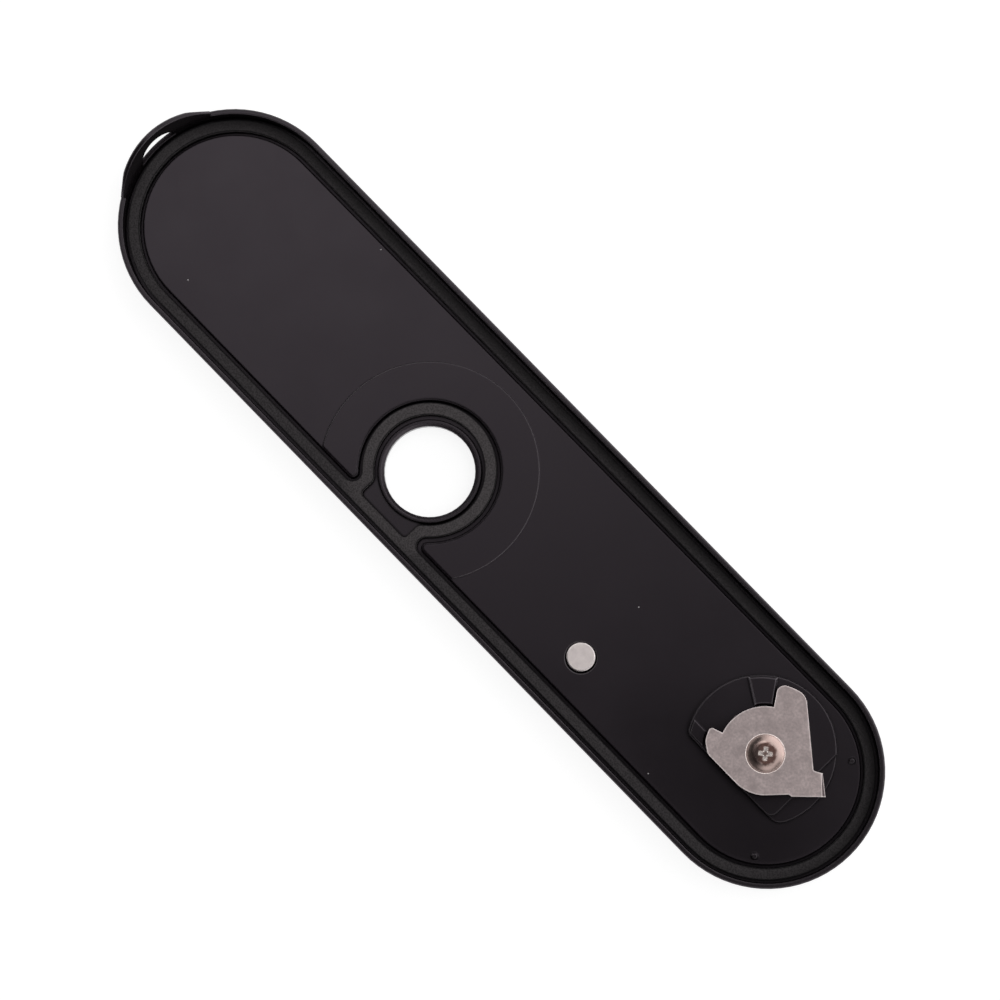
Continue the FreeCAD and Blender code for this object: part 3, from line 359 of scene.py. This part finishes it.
def edge_highlights_and_wear(tree, place, radius, patches):
    """Painted highlight along the edges, patchy like wear, on the floor and the tongue, and less inside the
    loop of the seal.
    """
    edge_light = outer_edges(tree, width_mm=0.16)
    patchy = spread(tree, patches, *PATCHY_SPAN, to_low=PATCHY_EDGE_LIGHT)
    on_floor = spread(tree, radius, *FLOOR_ZONE)
    on_tongue = spread(tree, radius, *TONGUE_ZONE)
    lit_edge_places = math_node(tree, "ADD", on_floor, on_tongue)
    by_hole = spread(tree, axis_distance(tree, place, HOLE_AXIS), *EDGE_LIGHT_ZONE, to_low=LEAST_EDGE_LIGHT)
    return product(tree, edge_light, patchy, lit_edge_places, by_hole)


def painted_shade_places(tree, place, radius):
    """Painted shade in the narrow gaps, and on the floor beside the lock boss, most on its -Y side."""
    gap = crevice(tree, width_mm=0.55, clear=0.82)
    foot = product(tree, crevice(tree, width_mm=2.6, clear=0.97, full=0.5), FOOT_SHADE)
    beside = math_node(tree, "MAXIMUM", foot, LOCK_SHADE)
    on_floor = spread(tree, radius, *FLOOR_ZONE)
    by_lock = spread(tree, axis_distance(tree, place, LOCK_AXIS), *LOCK_ZONE)
    near_side = spread(tree, coordinate(tree, place, "Y"), *LOCK_SIDE)
    return math_node(tree, "MAXIMUM", gap, product(tree, beside, on_floor, by_lock, near_side))


def black_finish():
    """Matt black with a trace of purple: smooth floor, grainy rim, painted highlight and wear on the edges,
    painted shade in the gaps and beside the lock, some dust.
    """
    material, tree, shader, place = new_material("black_finish")
    radius = plate_radius(tree, place)
    on_rim = spread(tree, radius, *RIM_ZONE)
    patches = noise(tree, place, grain_mm=9.0, detail=4.0)
    grain = noise(tree, place, grain_mm=0.22, detail=2.0, roughness=0.6)
    floor_colour = mottled(tree, patches, FLOOR_BLACK)
    rim_colour = mottled(tree, grain, RIM_BLACK)
    colour = mix_colour(tree, on_rim, floor_colour, rim_colour)
    # Painted highlight along the edges, patchy like wear
    colour = mix_colour(tree, edge_highlights_and_wear(tree, place, radius, patches), colour, EDGE_HIGHLIGHT_AND_WEAR)
    # Painted shade in the gaps and beside the lock, which also dims the reflection through Metallic
    painted_shade = painted_shade_places(tree, place, radius)
    colour = mix_colour(tree, painted_shade, colour, PAINTED_SHADE_BLACK)
    specks = dust(tree, place, spacing_mm=16.0, size_mm=0.09, share=0.35)
    colour = mix_colour(tree, specks, colour, DUST_SPECK)
    fine = product(tree, grain, spread(tree, on_rim, 0.0, 1.0, to_low=FLOOR_GRAIN))
    rounded = add_node(tree, "Bevel", {"Radius": EDGE_ROUND}, samples=ROUNDING_SAMPLES).outputs["Normal"]
    fill(tree, shader, {
        "Base Color": colour,
        # The painted shade also dims the reflection, through Metallic
        "Metallic": painted_shade,
        "Roughness": vary(tree, patches, 0.19, 0.23),
        "Specular IOR Level": 0.5,
        "Specular Tint": (*BLACK_GLEAM, 1.0),
        "Normal": bump(tree, fine, depth_mm=0.02, strength=0.5, below=rounded),
    })
    return material


def foam():
    """Fine dark foam with open cells, painted shade along its cut edges and by the +Y rim, and painted
    light on the loop round the tripod hole.
    """
    material, tree, shader, place = new_material("foam_seal")
    cells = add_node(tree, "TexVoronoi", {"Vector": place, "Scale": 1.0 / FOAM_CELL}).outputs["Distance"]
    dark = mottled(tree, cells, FOAM_DARK, FOAM_CELL_SPAN)
    pale = mottled(tree, cells, FOAM_PAINTED_LIT, FOAM_CELL_SPAN)
    middle = PLATE_CENTRE.y
    across = spread(tree, coordinate(tree, place, "Y"), middle - FOAM_SIDE, middle + FOAM_SIDE)
    shade = product(tree, across, spread(tree, plate_radius(tree, place), *FOAM_SHADE))
    dark = mix_colour(tree, shade, dark, FOAM_SHADED)
    on_loop = spread(tree, axis_distance(tree, place, HOLE_AXIS), *LOOP_ZONE)
    # Painted light on the loop round the tripod hole
    colour = mix_colour(tree, on_loop, dark, pale)
    # Painted shade along the cut edges
    colour = mix_colour(tree, outer_edges(tree, width_mm=0.2), colour, FOAM_EDGE_SHADE)
    cloud = noise(tree, place, grain_mm=0.7, detail=4.0, roughness=0.65)
    height = math_node(tree, "ADD", cells, cloud)
    fill(tree, shader, {
        "Base Color": colour,
        "Roughness": 0.85,
        "Specular IOR Level": 0.25,
        "Normal": bump(tree, height, depth_mm=0.06, strength=0.7),
    })
    return material


def stamped_steel():
    """Stamped and tumbled steel: a mottled pinkish grey face, dark sheared sides and painted highlights on
    the edges.
    """
    material, tree, shader, place = new_material("stamped_steel")
    mottle = noise(tree, place, grain_mm=1.5, detail=6.0, roughness=0.65)
    fine = noise(tree, place, grain_mm=0.36, roughness=0.6)
    colour = mottled(tree, mottle, CAM_FACE, FACE_SPAN)
    colour = mix_colour(tree, spread(tree, fine, *SPOT_SPAN, to_high=SPOT_SHARE), colour, CAM_SPOT)
    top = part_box("lock_cam")[1].z
    sheared = spread(tree, coordinate(tree, place, "Z"), *(top - depth for depth in SHEARED_DEPTH))
    colour = mix_colour(tree, sheared, colour, CAM_SHEARED)
    # Painted highlight on the edges
    colour = mix_colour(tree, outer_edges(tree, width_mm=0.16), colour, CAM_EDGE_HIGHLIGHT)
    height = math_node(tree, "ADD", mottle, product(tree, fine, FINE_SHARE))
    fill(tree, shader, {
        "Base Color": colour,
        "Metallic": 1.0,
        "Roughness": vary(tree, mottle, 0.36, 0.44),
        "Normal": bump(tree, height, depth_mm=0.010, strength=0.6),
    })
    return material


def turned_steel():
    """Warm bright steel with the fine rings of a lathe, a browned crown, a painted dark reflection on one
    side, and painted highlights in its cross and on its edges.
    """
    material, tree, shader, place = new_material("turned_steel")
    distance = axis_distance(tree, place, LOCK_AXIS)
    drift = noise(tree, place, grain_mm=0.5)
    rings = product(tree, lathe_rings(tree, distance, pitch_mm=0.16), vary(tree, drift, 0.0, 1.0))
    bright = mottled(tree, spread(tree, rings, -1.0, 1.0), SCREW_BRIGHT, span=(0.0, 1.0))
    ragged = math_node(tree, "ADD", distance, vary(tree, drift, -CROWN_RAGGED, CROWN_RAGGED))
    colour = mix_colour(tree, spread(tree, ragged, *CROWN_STAIN), bright, SCREW_CROWN)
    offset = vector_node(tree, "SUBTRACT", place, LOCK_AXIS)
    side = vector_node(tree, "DOT_PRODUCT", offset, heading(DARK_REFLECTION_AZIMUTH, 0.0), "Value")
    dark_reflection = product(tree, spread(tree, side, *DARK_REFLECTION_SIDE), spread(tree, distance, *DARK_REFLECTION_RADIUS))
    # Painted dark reflection on one side
    colour = mix_colour(tree, dark_reflection, colour, SCREW_DARK_REFLECTION)
    colour = mix_colour(tree, spread(tree, distance, *DULL_BORDER), colour, SCREW_BORDER)
    # Painted highlights in the cross and on the edges
    colour = mix_colour(tree, crevice(tree, width_mm=0.5, local=True), colour, SCREW_CROSS_HIGHLIGHT)
    colour = mix_colour(tree, outer_edges(tree, width_mm=0.18), colour, SCREW_EDGE_HIGHLIGHT)
    fill(tree, shader, {
        "Base Color": colour,
        "Metallic": 1.0,
        "Roughness": vary(tree, drift, 0.18, 0.26),
        "Normal": bump(tree, rings, depth_mm=0.003, strength=0.6),
    })
    return material


def plain_steel():
    """Bright steel of small hidden pieces, finely mottled."""
    material, tree, shader, place = new_material("plain_steel")
    mottle = noise(tree, place, grain_mm=0.3, detail=4.0, roughness=0.7)
    fill(tree, shader, {
        "Base Color": mottled(tree, mottle, STEEL),
        "Metallic": 1.0,
        "Roughness": vary(tree, mottle, 0.25, 0.42),
        "Normal": bump(tree, mottle, depth_mm=0.006, strength=0.5),
    })
    return material


def bright_nickel():
    """Nickel plating with a soft haze, fine pits and painted highlights on the edges."""
    material, tree, shader, place = new_material("bright_nickel")
    haze = noise(tree, place, grain_mm=0.9, detail=5.0, roughness=0.65)
    pits = noise(tree, place, grain_mm=0.18, detail=2.0)
    # Painted highlight on the edges
    colour = mix_colour(tree, outer_edges(tree, width_mm=0.2), mottled(tree, haze, NICKEL), NICKEL_EDGE_HIGHLIGHT)
    fill(tree, shader, {
        "Base Color": colour,
        "Metallic": 1.0,
        "Roughness": vary(tree, haze, 0.3, 0.5),
        "Normal": bump(tree, pits, depth_mm=0.006, strength=0.5),
    })
    return material


def turned_brass():
    """Turned brass with fine rings and a little tarnish."""
    material, tree, shader, place = new_material("turned_brass")
    rings = lathe_rings(tree, axis_distance(tree, place, LOCK_AXIS), pitch_mm=0.12)
    tarnish = noise(tree, place, grain_mm=0.9, detail=4.0)
    fill(tree, shader, {
        "Base Color": mottled(tree, tarnish, BRASS),
        "Metallic": 1.0,
        "Roughness": vary(tree, tarnish, 0.28, 0.45),
        "Normal": bump(tree, rings, depth_mm=0.004, strength=0.5),
    })
    return material


def ring_rubber():
    """Moulded black rubber with a faint bloom."""
    material, tree, shader, place = new_material("ring_rubber")
    bloom = noise(tree, place, grain_mm=0.4, detail=4.0)
    fill(tree, shader, {
        "Base Color": mottled(tree, bloom, RUBBER),
        "Roughness": vary(tree, bloom, 0.55, 0.75),
        "Normal": bump(tree, bloom, depth_mm=0.01, strength=0.4),
    })
    return material


def satin_black():
    """Satin black of the turned lock pieces, with faint lathe rings and rubbed spots."""
    material, tree, shader, place = new_material("satin_black")
    rings = lathe_rings(tree, axis_distance(tree, place, LOCK_AXIS), pitch_mm=0.2)
    rubbed = noise(tree, place, grain_mm=2.2, detail=5.0, roughness=0.6)
    fill(tree, shader, {
        "Base Color": mottled(tree, rubbed, SATIN, SATIN_SPAN),
        "Roughness": vary(tree, rubbed, 0.34, 0.48),
        "Specular IOR Level": 0.4,
        "Normal": bump(tree, rings, depth_mm=0.004, strength=0.4),
    })
    return material


def dress_nodes():
    """Give every solid of the frame its material."""
    black = black_finish()
    satin = satin_black()
    plain = plain_steel()
    looks = {
        "base_shell": black,
        "seal_gasket": foam(),
        "sensor_magnet": bright_nickel(),
        "shaft_bush": turned_brass(),
        "shaft_o_ring": ring_rubber(),
        "lock_rotor": satin,
        "lock_key": satin,
        "key_pins": plain,
        "spring_washer": plain,
        "lock_cam": stamped_steel(),
        "cam_screw": turned_steel(),
    }
    for name, material in looks.items():
        mesh = frame["nodes"][name].data
        mesh.materials.clear()
        mesh.materials.append(material)


def turn_screw():
    """The cam screw as it was tightened, with its cross turned on its own axis."""
    mesh = frame["nodes"]["cam_screw"].data.copy()
    centre = Matrix.Translation(LOCK_AXIS)
    mesh.transform(centre @ Matrix.Rotation(math.radians(SCREW_TURN), 4, "Z") @ centre.inverted())
    screw = bpy.data.objects.new("cam_screw_tightened", mesh)
    bpy.context.scene.collection.objects.link(screw)
    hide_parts("cam_screw")
    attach(screw, "rotor")


def floor_white():
    """White to the camera and in reflections, with the soft shadow of the part, and clear from below."""
    material = bpy.data.materials.new("floor_white")
    material.use_nodes = True
    tree = material.node_tree
    tree.nodes.clear()
    path = add_node(tree, "LightPath")
    seen = math_node(tree, "ADD", path.outputs["Is Camera Ray"], path.outputs["Is Glossy Ray"])
    seen = math_node(tree, "ADD", seen, path.outputs["Is Transmission Ray"], clamp=True)
    glow = add_node(tree, "Emission", {"Color": (*WHITE, 1.0), "Strength": product(tree, seen, FLOOR_GLOW)})
    matt = add_node(tree, "BsdfDiffuse", {"Color": (*FLOOR_COLOUR, 1.0)})
    both = add_node(tree, "AddShader", {0: glow.outputs[0], 1: matt.outputs[0]})
    clear = add_node(tree, "BsdfTransparent")
    below = add_node(tree, "NewGeometry").outputs["Backfacing"]
    side = add_node(tree, "MixShader", {0: below, 1: both.outputs[0], 2: clear.outputs[0]})
    add_node(tree, "OutputMaterial", {"Surface": side.outputs[0]})
    return material


def make_floor():
    """A white floor just under the part."""
    mesh = bpy.data.meshes.new("floor")
    half = FLOOR_SIZE / 2
    corners = [(-half, -half, 0.0), (half, -half, 0.0), (half, half, 0.0), (-half, half, 0.0)]
    mesh.from_pydata(corners, [], [(0, 1, 2, 3)])
    mesh.materials.append(floor_white())
    floor = bpy.data.objects.new("floor", mesh)
    floor.location.z = cad_box[0][2] - FLOOR_GAP
    bpy.context.scene.collection.objects.link(floor)


def make_camera():
    turn = Euler(CAMERA_TURN, "YXZ").to_matrix()
    data = bpy.data.cameras.new("camera")
    data.sensor_width = SENSOR_WIDTH
    data.lens = FOCAL_PIXELS / FRAME_PIXELS * SENSOR_WIDTH
    data.clip_start, data.clip_end = CAMERA_CLIP
    camera = bpy.data.objects.new("camera", data)
    bpy.context.scene.collection.objects.link(camera)
    camera.matrix_world = Matrix.Translation(turn @ CAMERA_SHIFT + PLATE_CENTRE) @ turn.to_4x4()
    bpy.context.scene.camera = camera


def make_light():
    """A studio of pale walls and a dark ceiling with soft panels, which the camera sees as plain white."""
    world = bpy.data.worlds.new("studio")
    bpy.context.scene.world = world
    world.use_nodes = True
    tree = world.node_tree
    tree.nodes.clear()
    ray = add_node(tree, "TexCoord").outputs["Generated"]
    height = vector_node(tree, "DOT_PRODUCT", ray, heading(0.0, 90.0), "Value")
    light = spread(tree, height, *WALL_FADE, WALL_LIGHT, CEILING_LIGHT)
    for azimuth, elevation, full, faded, radiance in PANELS:
        nearness = vector_node(tree, "DOT_PRODUCT", ray, heading(azimuth, elevation), "Value")
        edges = (math.cos(math.radians(faded)), math.cos(math.radians(full)))
        light = math_node(tree, "ADD", light, spread(tree, nearness, *edges, to_high=radiance))
    seen = add_node(tree, "LightPath").outputs["Is Camera Ray"]
    strength = spread(tree, seen, 0.0, 1.0, to_low=light)
    background = add_node(tree, "Background", {"Color": (*WHITE, 1.0), "Strength": strength})
    add_node(tree, "OutputWorld", {"Surface": background.outputs[0]})


dress_nodes()
turn_screw()
make_floor()
make_camera()
make_light()
bpy.context.scene.view_settings.view_transform = "Standard"
